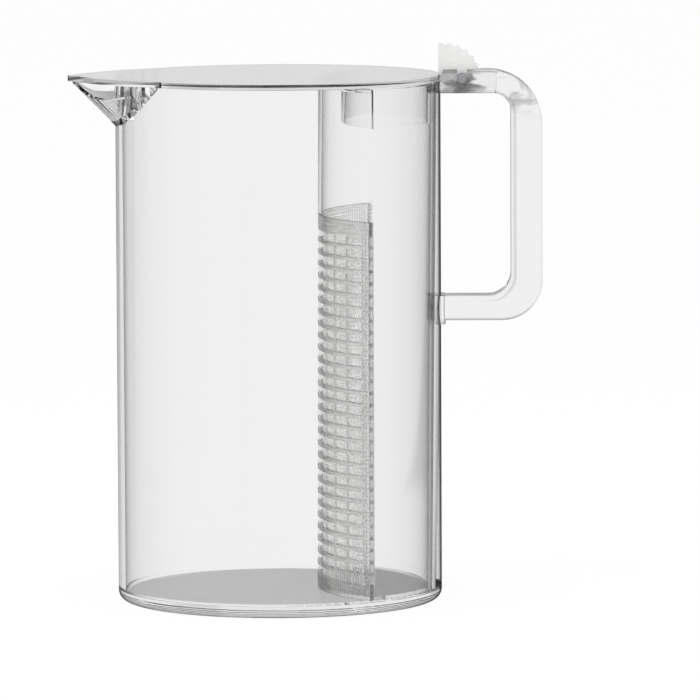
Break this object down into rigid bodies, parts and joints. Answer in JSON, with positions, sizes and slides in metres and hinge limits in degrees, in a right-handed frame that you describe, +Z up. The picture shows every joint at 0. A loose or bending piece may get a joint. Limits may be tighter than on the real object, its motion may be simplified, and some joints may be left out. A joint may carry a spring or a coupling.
{
  "type": "iced tea jug with filter",
  "caption": "Clear cylindrical jug with a pointed spout, squared handle, hinged lift-off lid with a thumb tab, and a tall lens-shaped filter.",
  "frame": {"origin": "centre of the flat underside, on the jug's axis", "axes": "+Z up along the jug's axis, -X towards the spout, +X towards the handle"},
  "size_m": [0.2099, 0.144, 0.2471],
  "materials": {
    "clear_jug": "clear polished plastic",
    "clear_handle": "clear polished plastic",
    "clear_lid": "clear polished plastic",
    "milky_tab": "milky moulded plastic",
    "pin": "moulded plastic",
    "clear_filter": "clear moulded plastic",
    "milky_grid": "milky moulded plastic",
    "fine_net": "fine woven plastic net"
  },
  "bodies": {
    "jug": {"jug_body": "clear_jug", "jug_handle": "clear_handle"},
    "pin": {"hinge_pin": "pin"},
    "lid": {"lid_plate": "clear_lid", "thumb_lever": "milky_tab"},
    "filter": {"filter_shell": "clear_filter", "filter_grid": "milky_grid", "filter_mesh": "fine_net", "filter_floor": "clear_filter", "filter_collar": "clear_filter"}
  },
  "joints": [
    {"name": "lid_lift", "type": "slide", "parent": "jug", "child": "pin", "axis": [0, 0, 1], "range_m": [0, 0.24]},
    {"name": "lid_hinge", "type": "hinge", "parent": "pin", "child": "lid", "pos_m": [0.0815, 0, 0.2319], "axis": [0, 1, 0], "range_deg": [0, 80]},
    {"name": "filter_lift", "type": "slide", "parent": "jug", "child": "filter", "axis": [0, 0, 1], "range_m": [0, 0.228]}
  ],
  "couplings": [
    {"joint": "filter_lift", "follows": "lid_lift", "ratio": 0.95}
  ]
}
